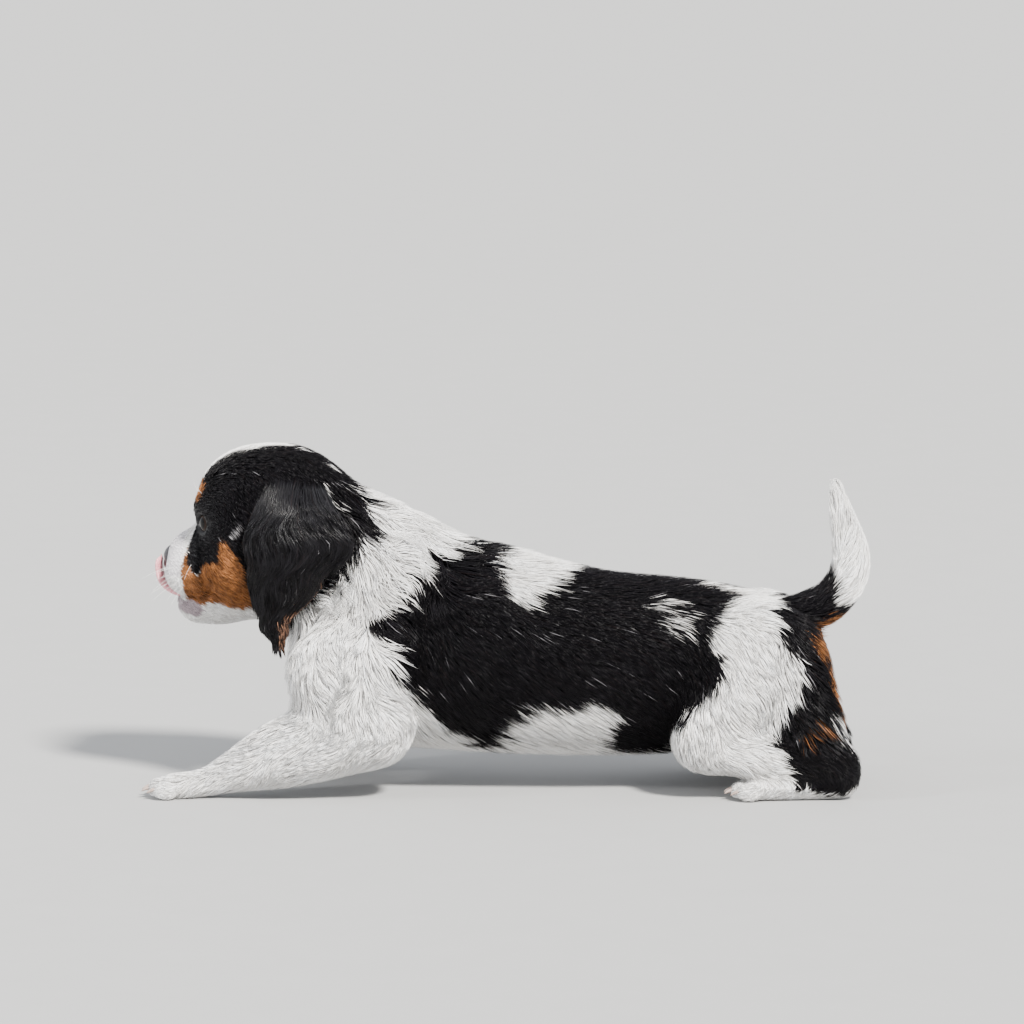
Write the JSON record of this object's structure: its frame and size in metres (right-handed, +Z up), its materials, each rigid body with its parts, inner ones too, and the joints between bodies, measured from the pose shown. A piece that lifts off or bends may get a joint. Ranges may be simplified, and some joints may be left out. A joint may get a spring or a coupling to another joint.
{
  "type": "cavalier king charles spaniel puppy model",
  "caption": "Life-size still model of a tricolour spaniel puppy in a low crouching step, tail raised, tongue curled over its nose.",
  "frame": {"origin": "on the floor, under the middle of the whole length and width", "axes": "+Z up, the head points to -X, the puppy's left side faces -Y"},
  "size_m": [0.3339, 0.1065, 0.1595],
  "materials": {
    "black_coat": "soft glossy black coat",
    "white_coat": "soft white coat",
    "nose_leather": "moist dark leather",
    "tongue": "moist pink",
    "eye": "wet dark brown"
  },
  "bodies": {
    "root": {"torso": "black_coat", "neck": "white_coat", "head": "black_coat", "lower_jaw": "white_coat", "nose": "nose_leather", "tongue": "tongue", "eye_left": "eye", "eye_right": "eye", "ear_left": "black_coat", "ear_right": "black_coat", "upper_arm_left": "white_coat", "upper_arm_right": "white_coat", "forearm_left": "white_coat", "forearm_right": "white_coat", "front_paw_left": "white_coat", "front_paw_right": "white_coat", "thigh_left": "white_coat", "thigh_right": "white_coat", "shank_left": "white_coat", "shank_right": "white_coat", "hind_foot_left": "white_coat", "hind_foot_right": "white_coat", "tail_base": "white_coat", "tail": "white_coat"}
  },
  "joints": []
}
